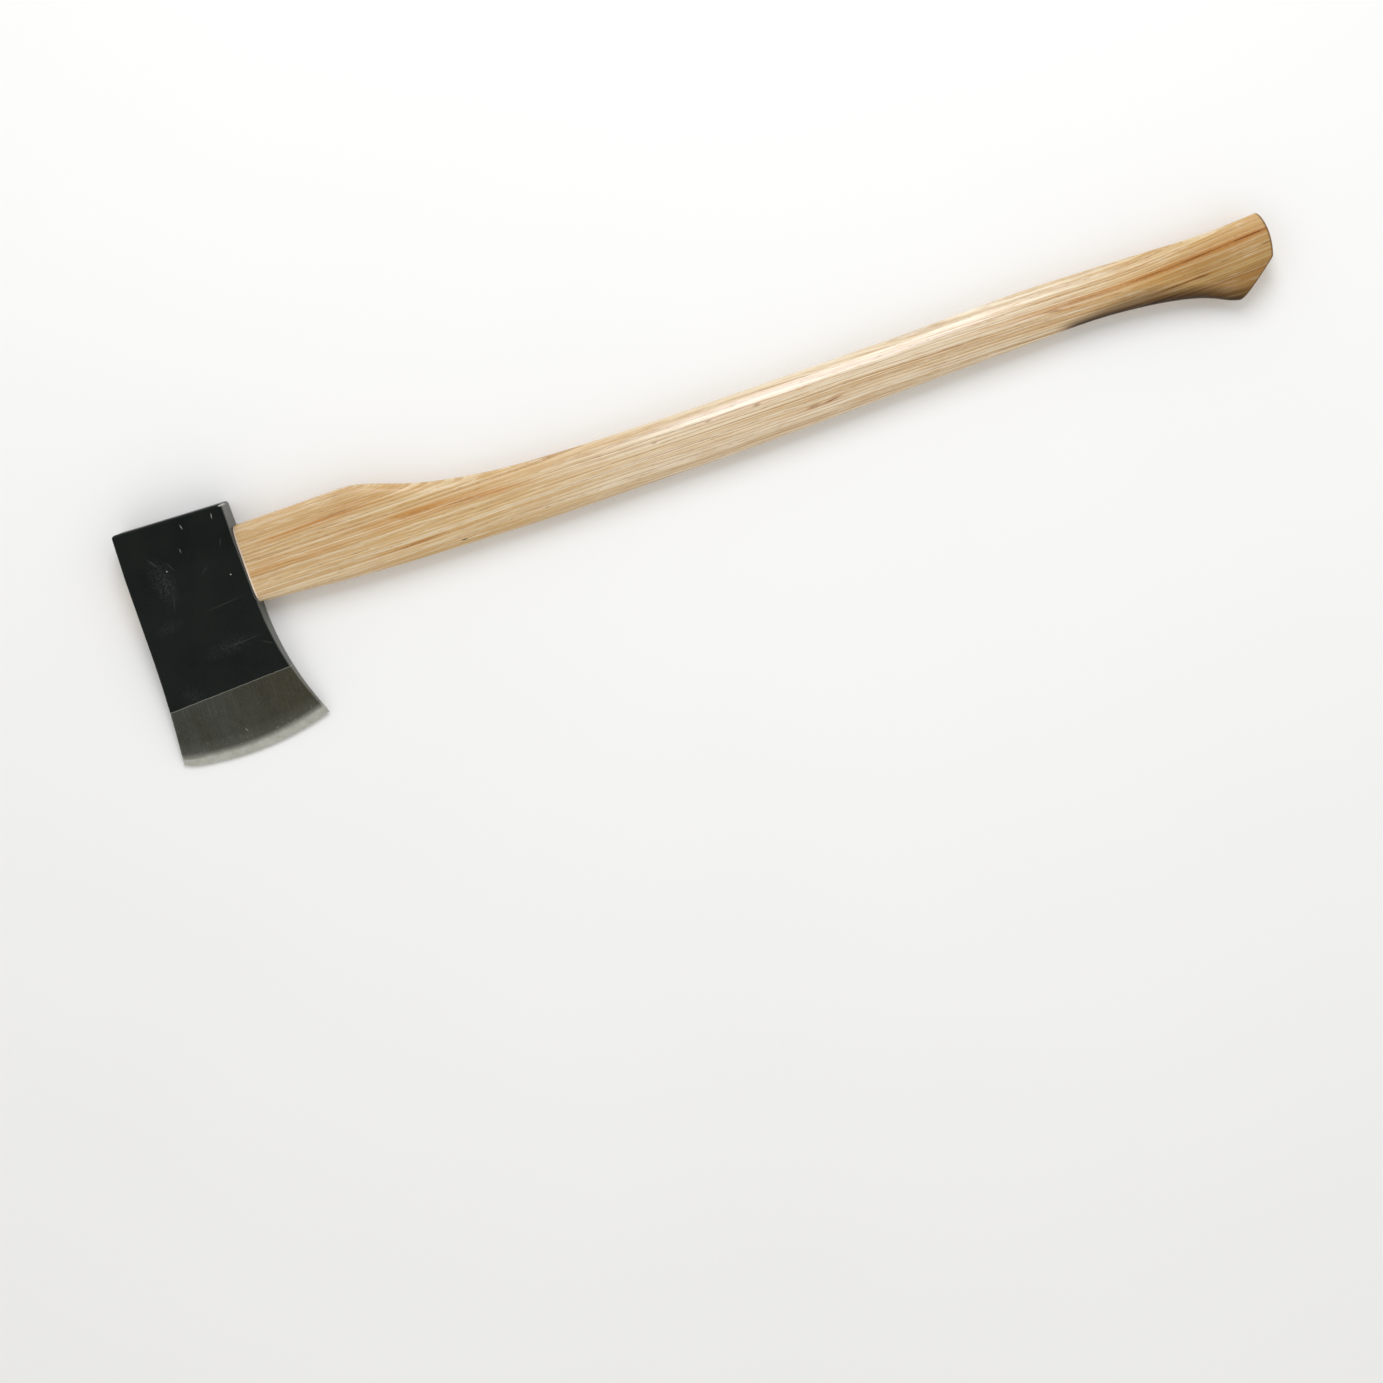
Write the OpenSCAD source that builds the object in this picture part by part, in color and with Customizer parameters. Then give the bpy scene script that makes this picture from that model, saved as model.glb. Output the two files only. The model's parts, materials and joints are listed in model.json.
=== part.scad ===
// Felling axe: a forged head on an S-curved wooden haft, lying on one cheek.
//
// Everything is drawn upright in the axe's own axes and laid down at the end.
// The axe's own axes: X runs along the eye, from the top of the head to the knob;
// Y points from the cutting edge to the poll; Z = 0 is the plane of symmetry.
// Laid down, the lower cheek is flat on Z = 0 and the origin is under the middle
// of the axe's box. All sizes are in millimetres.

/* [Head] */
// Poll to the middle of the cutting edge, along Y
head_height = 191.3; // [150:0.1:220]
// Distance of the poll face from the axis of the eye
poll_height = 50; // [46:0.1:58]
// Length of the poll face, along the eye
poll_width = 87.2; // [78:0.1:92]
// Thickness of the head at the poll face
poll_thickness = 28; // [24:0.5:30]
// Greatest thickness of the head, where the cheeks begin to taper
cheek_thickness = 30; // [28:0.5:34]
// Distance of that greatest thickness from the axis of the eye, towards the poll
cheek_start = 16; // [8:0.5:24]
// Thickness of the head where the sharpened bevel begins
bit_thickness = 5.4; // [4:0.1:8]
// Chamfer around the poll face
poll_chamfer = 1.6; // [0.5:0.1:3]
// Rounding of the two corners of the poll, seen from the side
poll_corner = 2.5; // [1:0.1:6]
// Slope of the underside of the head towards the haft
underside_slope = 1.8; // [0:0.1:5]

/* [Bit] */
// Radius of the cutting edge
edge_radius = 227; // [180:1:300]
// Distance of the centre of that arc from the top of the head
edge_centre = 38.5; // [30:0.5:60]
// Radius of the rounded toe of the edge
toe_radius = 45; // [30:1:60]
// Distance from the top of the head at which the toe's rounding begins
toe_start = 8; // [6:1:20]
// Width of the sharpened bevel
bevel_width = 9.6; // [6:0.1:14]
// Radius of the hollow curve that runs out to the heel
beard_radius = 220; // [180:1:260]
// Radius of the shallow curve that runs out to the toe
toe_flare_radius = 960; // [700:10:2000]

/* [Eye] */
// Length of the eye's oval at the haft's side
eye_length = 59; // [50:0.5:62]
// Width of the eye's oval at the haft's side
eye_width = 19; // [15:0.5:21]
// Growth of the oval from the haft's side to the top, as a factor
eye_flare = 1.06; // [1:0.01:1.1]
// Width of the saw kerf in the tongue at the top of the head
kerf_width = 6.5; // [4:0.5:9]
// Width of the kerf at its bottom
kerf_root = 1.5; // [1:0.1:3]
// Depth of the kerf
kerf_depth = 66; // [40:1:72]

/* [Haft] */
// Top of the head to the end of the knob
haft_end = 909.5; // [895:0.5:925]
// Thickness of the haft at the shoulder, side to side
shoulder_thickness = 24; // [22:0.2:25]
// Thickness of the haft at the grip, side to side
grip_thickness = 23.6; // [20:0.2:25]
// Thickness of the knob, side to side
knob_thickness = 26.3; // [24:0.1:26.4]
// Angle of the sawn face below the knob's end
knob_cut_angle = 42; // [35:1:50]
// Radius of the knob's rounded end, seen from the side
knob_end_radius = 64; // [50:1:120]

/* [Steel wedges] */
// Width of each steel wedge, across the eye
steel_width = 15; // [10:0.5:17]
// Thickness of each steel wedge at the top of the head
steel_thickness = 3.2; // [2:0.1:4.5]
// Depth to which the steel wedges are driven
steel_depth = 24; // [15:1:35]
// Distance of each steel wedge from the axis of the eye
steel_offset = 14; // [10:0.5:18]

/* [Hidden] */

// Smoothness of the large arcs, and of the sections of the haft
$fn = 96;
haft_sides = 32;
haft_ring_gap = 11;
eye_sides = 48;

// Heights in the axe's own axes
bit_y = poll_height - head_height;
bevel_y = bit_y + bevel_width;
half_taper = (cheek_thickness - bit_thickness) / 2 / (cheek_start - bevel_y);
cheek_angle = atan(half_taper);

// Arcs of the cutting edge, with its toe tangent to the main arc
edge_y = bit_y + edge_radius;
toe_turn = asin((edge_centre - toe_start) / edge_radius);
toe_x = edge_centre - (edge_radius - toe_radius) * sin(toe_turn);
toe_y = edge_y - (edge_radius - toe_radius) * cos(toe_turn);
bevel_rise = (bit_thickness / 2) / bevel_width;

// Flare of the top and hollow of the underside, cut by cylinders that stand outside the head
flare_y = -43;
beard_x = poll_width + 3.1 + beard_radius;
beard_y = -27;
bit_reach = 125;

// Point of the toe, where the flare meets the rounded edge
toe_tip_y = toe_y - sqrt(pow(toe_radius, 2) - pow(toe_x + 4, 2));
toe_tip_x = sqrt(pow(toe_flare_radius, 2) - pow(toe_tip_y - flare_y, 2)) - toe_flare_radius;

// Haft stations, [distance from the top of the head, height above the eye's axis]
haft_x0 = 80;
haft_x1 = haft_end + 4;
back_line = [
    [80, 30.4], [110, 31.5], [150, 33.2], [178, 34.3], [188, 33.3], [200, 30.2], [220, 24.2],
    [240, 19.5], [265, 15.8], [300, 12.8], [360, 12.1], [430, 13.7], [500, 16.2], [560, 18.8],
    [620, 21.5], [680, 25], [730, 27.3], [800, 27.8], [860, 28.3], [890, 30.5], [920, 33.8]
];
belly_line = [
    [80, -30.8], [120, -32.6], [180, -35], [290, -35], [340, -34], [400, -31.5], [460, -29.3],
    [520, -26], [580, -22], [640, -18], [700, -14.4], [760, -10.8], [790, -11.1], [820, -13.3],
    [845, -17.4], [858, -21.4], [868, -25.7], [876, -28.2], [884, -28.6], [920, -20]
];
// Side-to-side thickness along the haft
side_line = [
    [80, shoulder_thickness], [190, shoulder_thickness], [270, grip_thickness + 0.6],
    [420, grip_thickness], [740, grip_thickness], [820, grip_thickness + 0.8],
    [862, knob_thickness], [920, knob_thickness]
];
// Squareness of the section: 2 is an ellipse, larger is flatter on the sides
square_line = [[80, 3.8], [190, 3.6], [280, 2.6], [420, 2.3], [800, 2.3], [920, 2.5]];

// The knob's sawn face and rounded end
knob_corner_x = haft_end - 3;
knob_corner_y = -3.5;
knob_end_y = 14;

// Smooth curve through a list of [x, value] stations
function station(p, x, i = 0) = (i >= len(p) - 2 || x <= p[i + 1][0]) ? i : station(p, x, i + 1);
function chord_slope(p, i, j) = (p[j][1] - p[i][1]) / (p[j][0] - p[i][0]);
function slope(p, i) = chord_slope(p, max(i - 1, 0), min(i + 1, len(p) - 1));
function hermite(a, b, sa, sb, h, t) =
    a * (1 + 2 * t) * pow(1 - t, 2) + sa * h * t * pow(1 - t, 2)
    + b * t * t * (3 - 2 * t) + sb * h * t * t * (t - 1);
function curve(p, x) =
    let (i = station(p, x), h = p[i + 1][0] - p[i][0])
    hermite(p[i][1], p[i + 1][1], slope(p, i), slope(p, i + 1), h, (x - p[i][0]) / h);

// Superellipse with half axes a and b and squareness n
function signed_pow(v, e) = sign(v) * pow(abs(v), e);
function oval(a, b, n, sides) = [
    for (i = [0:sides - 1])
        let (t = 360 * (i + 0.5) / sides)
        [a * signed_pow(cos(t), 2 / n), b * signed_pow(sin(t), 2 / n)]
];

// One ring of the haft in the plane at x
function haft_ring(x) =
    let (top = curve(back_line, x), bottom = curve(belly_line, x))
    [for (p = oval((top - bottom) / 2, curve(side_line, x) / 2, curve(square_line, x), haft_sides))
        [x, (top + bottom) / 2 + p[0], p[1]]];

// Solid through equal rings, closed at both ends
module loft(rings) {
    n = len(rings[0]);
    m = len(rings);
    polyhedron(
        points = [for (r = rings) each r],
        faces = concat(
            [[for (i = [0:n - 1]) i]],
            [for (k = [0:m - 2]) for (i = [0:n - 1])
                each [[k * n + i, (k + 1) * n + i, (k + 1) * n + (i + 1) % n],
                      [k * n + i, (k + 1) * n + (i + 1) % n, k * n + (i + 1) % n]]],
            [[for (i = [n - 1:-1:0]) (m - 1) * n + i]]
        )
    );
}

// Lays the upright axe on its lower cheek, with the origin under the middle of its box
module laid_down() {
    rest_x = -(toe_tip_x + haft_end) / 2;
    rest_y = -((poll_height + bit_y) * cos(cheek_angle)
        + (poll_thickness / 2 - poll_chamfer) * sin(cheek_angle)) / 2;
    rest_z = cheek_thickness / 2 * cos(cheek_angle) - cheek_start * sin(cheek_angle);
    translate([rest_x, rest_y, rest_z])
        rotate([cheek_angle, 0, 0])
            children();
}

// Cross-section of the head, swept along the eye
module head_wedge() {
    reach = 6;
    half_poll = poll_thickness / 2;
    half_cheek = cheek_thickness / 2;
    half_tip = half_cheek - half_taper * (cheek_start - bit_y);
    edge = [
        [poll_height, half_poll - poll_chamfer],
        [poll_height - poll_chamfer, half_poll],
        [cheek_start, half_cheek],
        [bit_y, half_tip]
    ];
    mirrored = [for (i = [len(edge) - 1:-1:0]) [edge[i][0], -edge[i][1]]];
    translate([-reach, 0, 0])
        rotate([90, 0, 90])
            linear_extrude(height = bit_reach + 2 * reach)
                polygon(concat(edge, mirrored));
}

// Tapers the head to a sharp edge along an arc round [x, y]
module edge_cone(x, y, radius) {
    depth = min(cheek_thickness, radius * bevel_rise * 0.98);
    for (side = [0, 180])
        translate([x, y, 0])
            rotate([side, 0, 0])
                cylinder(h = depth, r1 = radius, r2 = radius - depth / bevel_rise, $fn = 360);
}

// Corner left outside the toe's rounding
module toe_waste() {
    difference() {
        translate([toe_x, toe_y, 0])
            rotate([0, 0, -toe_turn])
                translate([-60, -60, -cheek_thickness])
                    cube([60, 60, 2 * cheek_thickness]);
        edge_cone(toe_x, toe_y, toe_radius);
    }
}

// Corner left outside the rounding of the poll at x; side is 1 at the haft, -1 at the top
module poll_corner_waste(x, side) {
    translate([x, poll_height, 0])
        difference() {
            cube([2 * poll_corner, 2 * poll_corner, 2 * cheek_thickness], center = true);
            translate([-side * poll_corner, -poll_corner, 0])
                cylinder(h = 3 * cheek_thickness, r = poll_corner, center = true, $fn = 48);
        }
}

// Solid of the oval eye, from outside the top of the head to outside the underside
module eye_solid() {
    length = poll_width + 8;
    translate([poll_width + 6, 0, 0])
        rotate([90, 0, -90])
            linear_extrude(height = length, scale = eye_flare)
                polygon(oval(eye_length / 2, eye_width / 2, 2.1, eye_sides));
}

// Everything on the haft's side of the head's underside
module beyond_underside() {
    translate([poll_width, poll_height, 0])
        rotate([0, 0, underside_slope])
            translate([0, -150, -50])
                cube([1000, 300, 100]);
}

// Everything outside the top of the head, which is flat as far as the flare
module beyond_top() {
    translate([-50, flare_y, -50])
        cube([50, 200, 100]);
    translate([-toe_flare_radius, flare_y, 0])
        cylinder(h = 100, r = toe_flare_radius, center = true, $fn = 720);
}

module axe_head() {
    color([0.12, 0.13, 0.12])
        laid_down()
            difference() {
                intersection() {
                    head_wedge();
                    union() {
                        edge_cone(edge_centre, edge_y, edge_radius);
                        translate([-10, cheek_start - 60, -cheek_thickness])
                            cube([150, 120, 2 * cheek_thickness]);
                    }
                }
                toe_waste();
                beyond_top();
                difference() {
                    beyond_underside();
                    translate([0, beard_y - 200, -60])
                        cube([200, 200, 120]);
                }
                translate([beard_x, beard_y, 0])
                    cylinder(h = 100, r = beard_radius, center = true, $fn = 360);
                poll_corner_waste(0, -1);
                poll_corner_waste(poll_width, 1);
                eye_solid();
            }
}

// Solid wedge seen along Y or Z: thick at the top of the head, thin at its point
module wedge_profile(top_thickness, point_thickness, depth, width) {
    linear_extrude(height = width, center = true)
        polygon([
            [-10, top_thickness / 2 + (top_thickness - point_thickness) / 2 * 10 / depth],
            [depth, point_thickness / 2],
            [depth, -point_thickness / 2],
            [-10, -top_thickness / 2 - (top_thickness - point_thickness) / 2 * 10 / depth]
        ]);
}

module kerf() {
    rotate([90, 0, 0])
        wedge_profile(kerf_width, kerf_root, kerf_depth, 2 * eye_length);
}

// side is 1 towards the poll and -1 towards the bit
module steel_slot(side) {
    translate([0, side * steel_offset, 0])
        wedge_profile(steel_thickness, 0.6, steel_depth, steel_width);
}

// Part of the eye below the top of the head
module tongue_space() {
    difference() {
        eye_solid();
        beyond_top();
    }
}

// Space outside the knob's sawn face and rounded end
module knob_waste() {
    translate([knob_corner_x, knob_corner_y, 0])
        rotate([0, 0, knob_cut_angle])
            translate([-150, -100, -50])
                cube([300, 100, 100]);
    difference() {
        translate([knob_corner_x - 20, -60, -50])
            cube([60, 160, 100]);
        translate([haft_end - knob_end_radius, knob_end_y, 0])
            cylinder(h = 120, r = knob_end_radius, center = true, $fn = 180);
    }
}

module haft() {
    rings = ceil((haft_x1 - haft_x0) / haft_ring_gap);
    color([0.80, 0.69, 0.52])
        laid_down()
            difference() {
                union() {
                    intersection() {
                        loft([for (k = [0:rings]) haft_ring(haft_x0 + (haft_x1 - haft_x0) * k / rings)]);
                        beyond_underside();
                    }
                    tongue_space();
                }
                knob_waste();
                kerf();
                steel_slot(1);
                steel_slot(-1);
            }
}

module wooden_wedge() {
    color([0.70, 0.56, 0.38])
        laid_down()
            difference() {
                intersection() {
                    tongue_space();
                    kerf();
                }
                steel_slot(1);
                steel_slot(-1);
            }
}

module steel_wedge(side) {
    color([0.55, 0.55, 0.53])
        laid_down()
            difference() {
                steel_slot(side);
                beyond_top();
            }
}

module steel_wedge_front() {
    steel_wedge(-1);
}

module steel_wedge_rear() {
    steel_wedge(1);
}

axe_head();
haft();
wooden_wedge();
steel_wedge_front();
steel_wedge_rear();
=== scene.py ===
import json
import math

import bmesh
import bpy
import numpy as np
from mathutils import Matrix, Vector


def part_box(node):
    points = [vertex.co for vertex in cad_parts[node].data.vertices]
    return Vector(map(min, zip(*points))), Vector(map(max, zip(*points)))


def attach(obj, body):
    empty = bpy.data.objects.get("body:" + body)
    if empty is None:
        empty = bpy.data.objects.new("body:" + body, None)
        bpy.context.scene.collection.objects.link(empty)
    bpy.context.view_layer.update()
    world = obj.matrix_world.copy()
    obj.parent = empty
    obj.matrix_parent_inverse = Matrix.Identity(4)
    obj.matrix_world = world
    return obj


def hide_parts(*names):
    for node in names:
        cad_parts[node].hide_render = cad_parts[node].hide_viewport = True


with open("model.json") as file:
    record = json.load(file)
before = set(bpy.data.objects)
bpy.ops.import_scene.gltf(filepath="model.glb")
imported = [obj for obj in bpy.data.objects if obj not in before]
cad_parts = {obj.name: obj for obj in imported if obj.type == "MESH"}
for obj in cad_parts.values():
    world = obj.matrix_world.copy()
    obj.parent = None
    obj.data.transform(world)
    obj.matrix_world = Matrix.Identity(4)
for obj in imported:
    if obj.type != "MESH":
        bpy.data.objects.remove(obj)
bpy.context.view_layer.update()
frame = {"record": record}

MM = 0.001

# ---------------------------------------------------------------------------------------
# The axe's own axes, in millimetres, as the CAD model has them: X runs along the eye from
# the top of the head to the knob, Y from the cutting edge to the poll, and Z = 0 is the
# plane of symmetry. LAID turns them into the frame, where the axe lies on one cheek.
# ---------------------------------------------------------------------------------------
POLL_HEIGHT = 50.0
MOUNTS = {m["name"]: m for m in frame["record"]["mounts"]}
POLL_AXIS = MOUNTS["poll_face"]["axis"]
CHEEK_ANGLE = math.atan2(POLL_AXIS[2], POLL_AXIS[1])
TOP_OF_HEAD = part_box("haft")[0].x
HAFT_END = (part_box("haft")[1].x - TOP_OF_HEAD) / MM


def laid_matrix():
    poll = Vector(MOUNTS["poll_face"]["pos_m"])
    eye = poll - POLL_HEIGHT * MM * Vector(POLL_AXIS)
    eye.x = TOP_OF_HEAD
    return Matrix.Translation(eye) @ Matrix.Rotation(CHEEK_ANGLE, 4, "X") @ Matrix.Scale(MM, 4)


LAID = laid_matrix()

# Head
HEAD_HEIGHT = 191.3
POLL_WIDTH = 87.2
POLL_THICKNESS = 27.92
CHEEK_THICKNESS = 30.0
CHEEK_START = 16.0
CHEEK_EASE = 9.0
BIT_THICKNESS = 5.4
POLL_FILLET = 1.8
POLL_CORNER = 2.5
SIDE_FILLET = 1.1
UNDERSIDE_SLOPE = math.tan(math.radians(1.8))
BIT_Y = POLL_HEIGHT - HEAD_HEIGHT
BEVEL_WIDTH = 9.6
EDGE_RADIUS = 227.0
EDGE_CENTRE = 38.5
TOE_RADIUS = 45.0
TOE_START = 8.0
FLARE_RADIUS = 960.0
FLARE_Y = -43.0
BEARD_RADIUS = 220.0
BEARD_Y = -27.0
BEARD_X = POLL_WIDTH + 3.1 + BEARD_RADIUS
TAPER = (CHEEK_THICKNESS - BIT_THICKNESS) / 2 / (CHEEK_START - BIT_Y - BEVEL_WIDTH)
POLL_TAPER = (CHEEK_THICKNESS - POLL_THICKNESS) / 2 / (POLL_HEIGHT - CHEEK_START)
EDGE_HALF = 0.12
EDGE_SETBACK = 0.02
EDGE_TOE_Y = -135.9
EDGE_HEEL_Y = -127.3
BEVEL_TOE_X = -4.5
BEVEL_TOE_Y = -136.0
BEVEL_HEEL_Y = -127.0
BEVEL_TOE_LOSS = 0.42
BEVEL_HEEL_LOSS = 0.22
BEVEL_ROLL = 0.65
# Dents in the cutting edge: distance from the top of the head, half width and depth
NICKS = [(23.5, 0.9, 0.5), (59.0, 0.8, 0.55), (7.0, 0.7, 0.3), (88.0, 0.6, 0.25)]

# Eye, kerf and wedges
EYE_LENGTH = 59.0
EYE_WIDTH = 19.0
EYE_FLARE = 1.06
EYE_FLARE_END = POLL_WIDTH + 6
EYE_FLARE_LENGTH = POLL_WIDTH + 8
EYE_SQUARENESS = 2.1
EYE_GAP = 0.05
KERF_WIDTH = 6.5
KERF_ROOT = 1.5
KERF_DEPTH = 66.0
STEEL_WIDTH = 15.0
STEEL_THICKNESS = 3.2
STEEL_POINT = 0.6
STEEL_DEPTH = 24.0
STEEL_OFFSET = 14.0
CUTTER_START = -10.0
# Rings along X: distance from the top of the head, and how far the section is drawn in there
EYE_CUTTER_RINGS = ((-12, -9.0), (0, -0.9), (0.9, 0), (45, 0), (86.3, 0), (91.5, -1.6))
TONGUE_RINGS = ((-0.35, 0.45), (-0.23, 0.12), (0.05, 0), (20, 0), (45, 0), (70, 0))
WOOD_RINGS = ((-0.7, 0.5), (-0.55, 0.15), (-0.2, 0), (10, 0), (30, 0), (50, 0), (KERF_DEPTH - 1, 0))
STEEL_RINGS = ((-0.55, 0.32), (-0.47, 0.14), (-0.25, 0), (6, 0), (12, 0), (18, 0), (STEEL_DEPTH - 0.3, 0))
WOOD_GAP = 0.08
WOOD_SIDE_GAP = 0.03
STEEL_GAP = 0.02
STEEL_CORNER = 0.35
BLOCK_CORNER_POINTS = 6

# Haft: stations of [distance from the top of the head, value]
BACK_LINE = [
    (80, 30.4), (110, 31.5), (150, 33.2), (178, 34.3), (188, 33.3), (200, 30.2), (220, 24.2),
    (240, 19.5), (265, 15.8), (300, 12.8), (360, 12.1), (430, 13.7), (500, 16.2), (560, 18.8),
    (620, 21.5), (680, 25.0), (730, 27.3), (800, 27.8), (860, 28.3), (890, 30.5), (920, 33.8),
]
BELLY_LINE = [
    (80, -30.8), (120, -32.6), (180, -35), (290, -35), (340, -34), (400, -31.5), (460, -29.3),
    (520, -26), (580, -22), (640, -18), (700, -14.4), (760, -10.8), (790, -11.1), (820, -13.3),
    (845, -17.4), (858, -21.4), (868, -25.7), (876, -28.2), (884, -28.6), (920, -20),
]
SIDE_LINE = [
    (80, 24.0), (190, 24.0), (270, 24.2), (420, 23.6), (740, 23.6), (820, 24.4), (862, 26.3), (920, 26.3),
]
SQUARE_LINE = [(80, 3.8), (190, 3.6), (280, 2.6), (420, 2.3), (800, 2.3), (920, 2.5)]
# Height of one growth ring along the haft: the blank's fibres follow the haft's sweep
FIBRE_LINE = [
    (0, 0), (90, 0), (170, 2.2), (240, 4.2), (330, 8), (414, 11), (500, 14.5), (592, 18), (737, 19.5),
    (791, 20.5), (849, 24.5), (915, 31),
]
KNOB_CUT = math.tan(math.radians(42))
KNOB_CORNER = (HAFT_END - 3, -3.5)
KNOB_END_RADIUS = 64.0
KNOB_END_Y = 14.0
KNOB_TOP_Y = 32.4
KNOB_TIP_Y = -28.4


def curve(stations, x):
    """Smooth curve through the stations, as the CAD model draws it."""
    p = np.array(stations, float)
    x = np.asarray(x, float)
    i = np.clip(np.searchsorted(p[:, 0], x, side="left") - 1, 0, len(p) - 2)
    before = np.maximum(np.arange(len(p)) - 1, 0)
    after = np.minimum(np.arange(len(p)) + 1, len(p) - 1)
    slope = (p[after, 1] - p[before, 1]) / (p[after, 0] - p[before, 0])
    h = p[i + 1, 0] - p[i, 0]
    t = (x - p[i, 0]) / h
    return (p[i, 1] * (1 + 2 * t) * (1 - t) ** 2 + slope[i] * h * t * (1 - t) ** 2
            + p[i + 1, 1] * t * t * (3 - 2 * t) + slope[i + 1] * h * t * t * (t - 1))


def smoothstep(a, b, x):
    t = np.clip((np.asarray(x, float) - a) / (b - a), 0, 1)
    return t * t * (3 - 2 * t)


def eased(depth, radius):
    """How far a rounded edge of that radius has drawn in, at that depth below the face."""
    left = np.clip(radius - depth, 0, radius)
    return radius - np.sqrt(radius ** 2 - left ** 2)


def signed_power(v, e):
    return np.sign(v) * np.abs(v) ** e


# ---------------------------------------------------------------------------------------
# Meshes
# ---------------------------------------------------------------------------------------
def make_object(name, verts, faces, smooth_angle=32):
    """A mesh piece from upright millimetre points, laid down in the frame."""
    mesh = bpy.data.meshes.new(name)
    mesh.from_pydata([tuple(v) for v in verts], [], [tuple(int(i) for i in f) for f in faces])
    mesh.transform(LAID)
    tidy_mesh(mesh, smooth_angle)
    piece = bpy.data.objects.new(name, mesh)
    bpy.context.collection.objects.link(piece)
    return piece


def tidy_mesh(mesh, smooth_angle):
    bm = bmesh.new()
    bm.from_mesh(mesh)
    bmesh.ops.remove_doubles(bm, verts=bm.verts, dist=1e-7)
    bmesh.ops.recalc_face_normals(bm, faces=bm.faces)
    bm.to_mesh(mesh)
    bm.free()
    mesh.shade_smooth()
    mesh.set_sharp_from_angle(angle=math.radians(smooth_angle))


def tube_faces(rings, around):
    """Quads between successive rings of the same number of points."""
    faces = []
    for k in range(rings - 1):
        a, b = k * around, (k + 1) * around
        for i in range(around):
            j = (i + 1) % around
            faces.append((a + i, a + j, b + j, b + i))
    return faces


def cut(piece, tools, smooth_angle=32):
    """Cuts the tools out of the piece and removes them."""
    for tool in tools:
        modifier = piece.modifiers.new("cut", "BOOLEAN")
        modifier.operation = "DIFFERENCE"
        modifier.solver = "EXACT"
        modifier.object = tool
    graph = bpy.context.evaluated_depsgraph_get()
    mesh = bpy.data.meshes.new_from_object(piece.evaluated_get(graph))
    piece.modifiers.clear()
    piece.data = mesh
    for tool in tools:
        bpy.data.objects.remove(tool)
    tidy_mesh(mesh, smooth_angle)


def upright(piece):
    """The piece's points in the axe's own axes, in millimetres."""
    co = np.empty(len(piece.data.vertices) * 3)
    piece.data.vertices.foreach_get("co", co)
    back = np.array(LAID.inverted())
    return co.reshape(-1, 3) @ back[:3, :3].T + back[:3, 3]


def store(piece, name, values):
    """Keeps one value or vector per point for the materials to read."""
    values = np.asarray(values, float)
    kind = "FLOAT_VECTOR" if values.ndim == 2 else "FLOAT"
    layer = piece.data.attributes.new(name, kind, "POINT")
    layer.data.foreach_set("vector" if values.ndim == 2 else "value", values.ravel())


# ---------------------------------------------------------------------------------------
# Head
# ---------------------------------------------------------------------------------------
def top_x(y):
    """Side outline of the head's top: flat, then flaring out to the toe."""
    drop = np.minimum(np.asarray(y, float) - FLARE_Y, 0)
    return np.sqrt(FLARE_RADIUS ** 2 - drop ** 2) - FLARE_RADIUS


def underside_x(y):
    """Side outline of the underside: a slight slope, then the hollow beard."""
    y = np.asarray(y, float)
    straight = POLL_WIDTH + (POLL_HEIGHT - y) * UNDERSIDE_SLOPE
    below = np.minimum(y - BEARD_Y, 0)
    hollow = BEARD_X - np.sqrt(BEARD_RADIUS ** 2 - below ** 2)
    return np.where(y > BEARD_Y, straight, hollow)


def cutting_y(x):
    """Outline of the cutting edge, with its rounded toe."""
    x = np.asarray(x, float)
    centre_y = BIT_Y + EDGE_RADIUS
    turn = math.asin((EDGE_CENTRE - TOE_START) / EDGE_RADIUS)
    toe_x = EDGE_CENTRE - (EDGE_RADIUS - TOE_RADIUS) * math.sin(turn)
    toe_y = centre_y - (EDGE_RADIUS - TOE_RADIUS) * math.cos(turn)
    main = centre_y - np.sqrt(EDGE_RADIUS ** 2 - (x - EDGE_CENTRE) ** 2)
    toe = toe_y - np.sqrt(TOE_RADIUS ** 2 - np.clip(x - toe_x, -TOE_RADIUS, TOE_RADIUS) ** 2)
    return np.where(x < TOE_START, toe, main)


def nicks(x):
    """How deep the dents in the cutting edge are at x."""
    depth = np.zeros(len(x))
    for place, width, size in NICKS:
        depth += size * np.exp(-((x - place) / width) ** 2)
    return depth


def half_thickness(y):
    """Half of the head's thickness: nearly even at the eye, tapering to the bit."""
    above = POLL_TAPER * (np.asarray(y, float) - CHEEK_START)
    below = TAPER * (CHEEK_START - np.asarray(y, float))
    soft = np.logaddexp(above / (POLL_TAPER * CHEEK_EASE), below / (POLL_TAPER * CHEEK_EASE))
    return CHEEK_THICKNESS / 2 - soft * POLL_TAPER * CHEEK_EASE


CHEEK_STEPS = 170
CORNER_STEPS = 5
SIDE_STEPS = 10
FLANK_POINTS = 2 * CORNER_STEPS + SIDE_STEPS - 1
POLL_DEPTHS = (0, 0.06, 0.2, 0.45, 0.8, 1.2, 1.6, 2.0, POLL_CORNER)
CHEEK_SHARES = np.linspace(0, 1, 74)[1:]
NICK_START = 0.88
BEVEL_SHARES = (*np.linspace(0, NICK_START, 15)[1:], 0.94, 0.97, 1.0)


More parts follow.
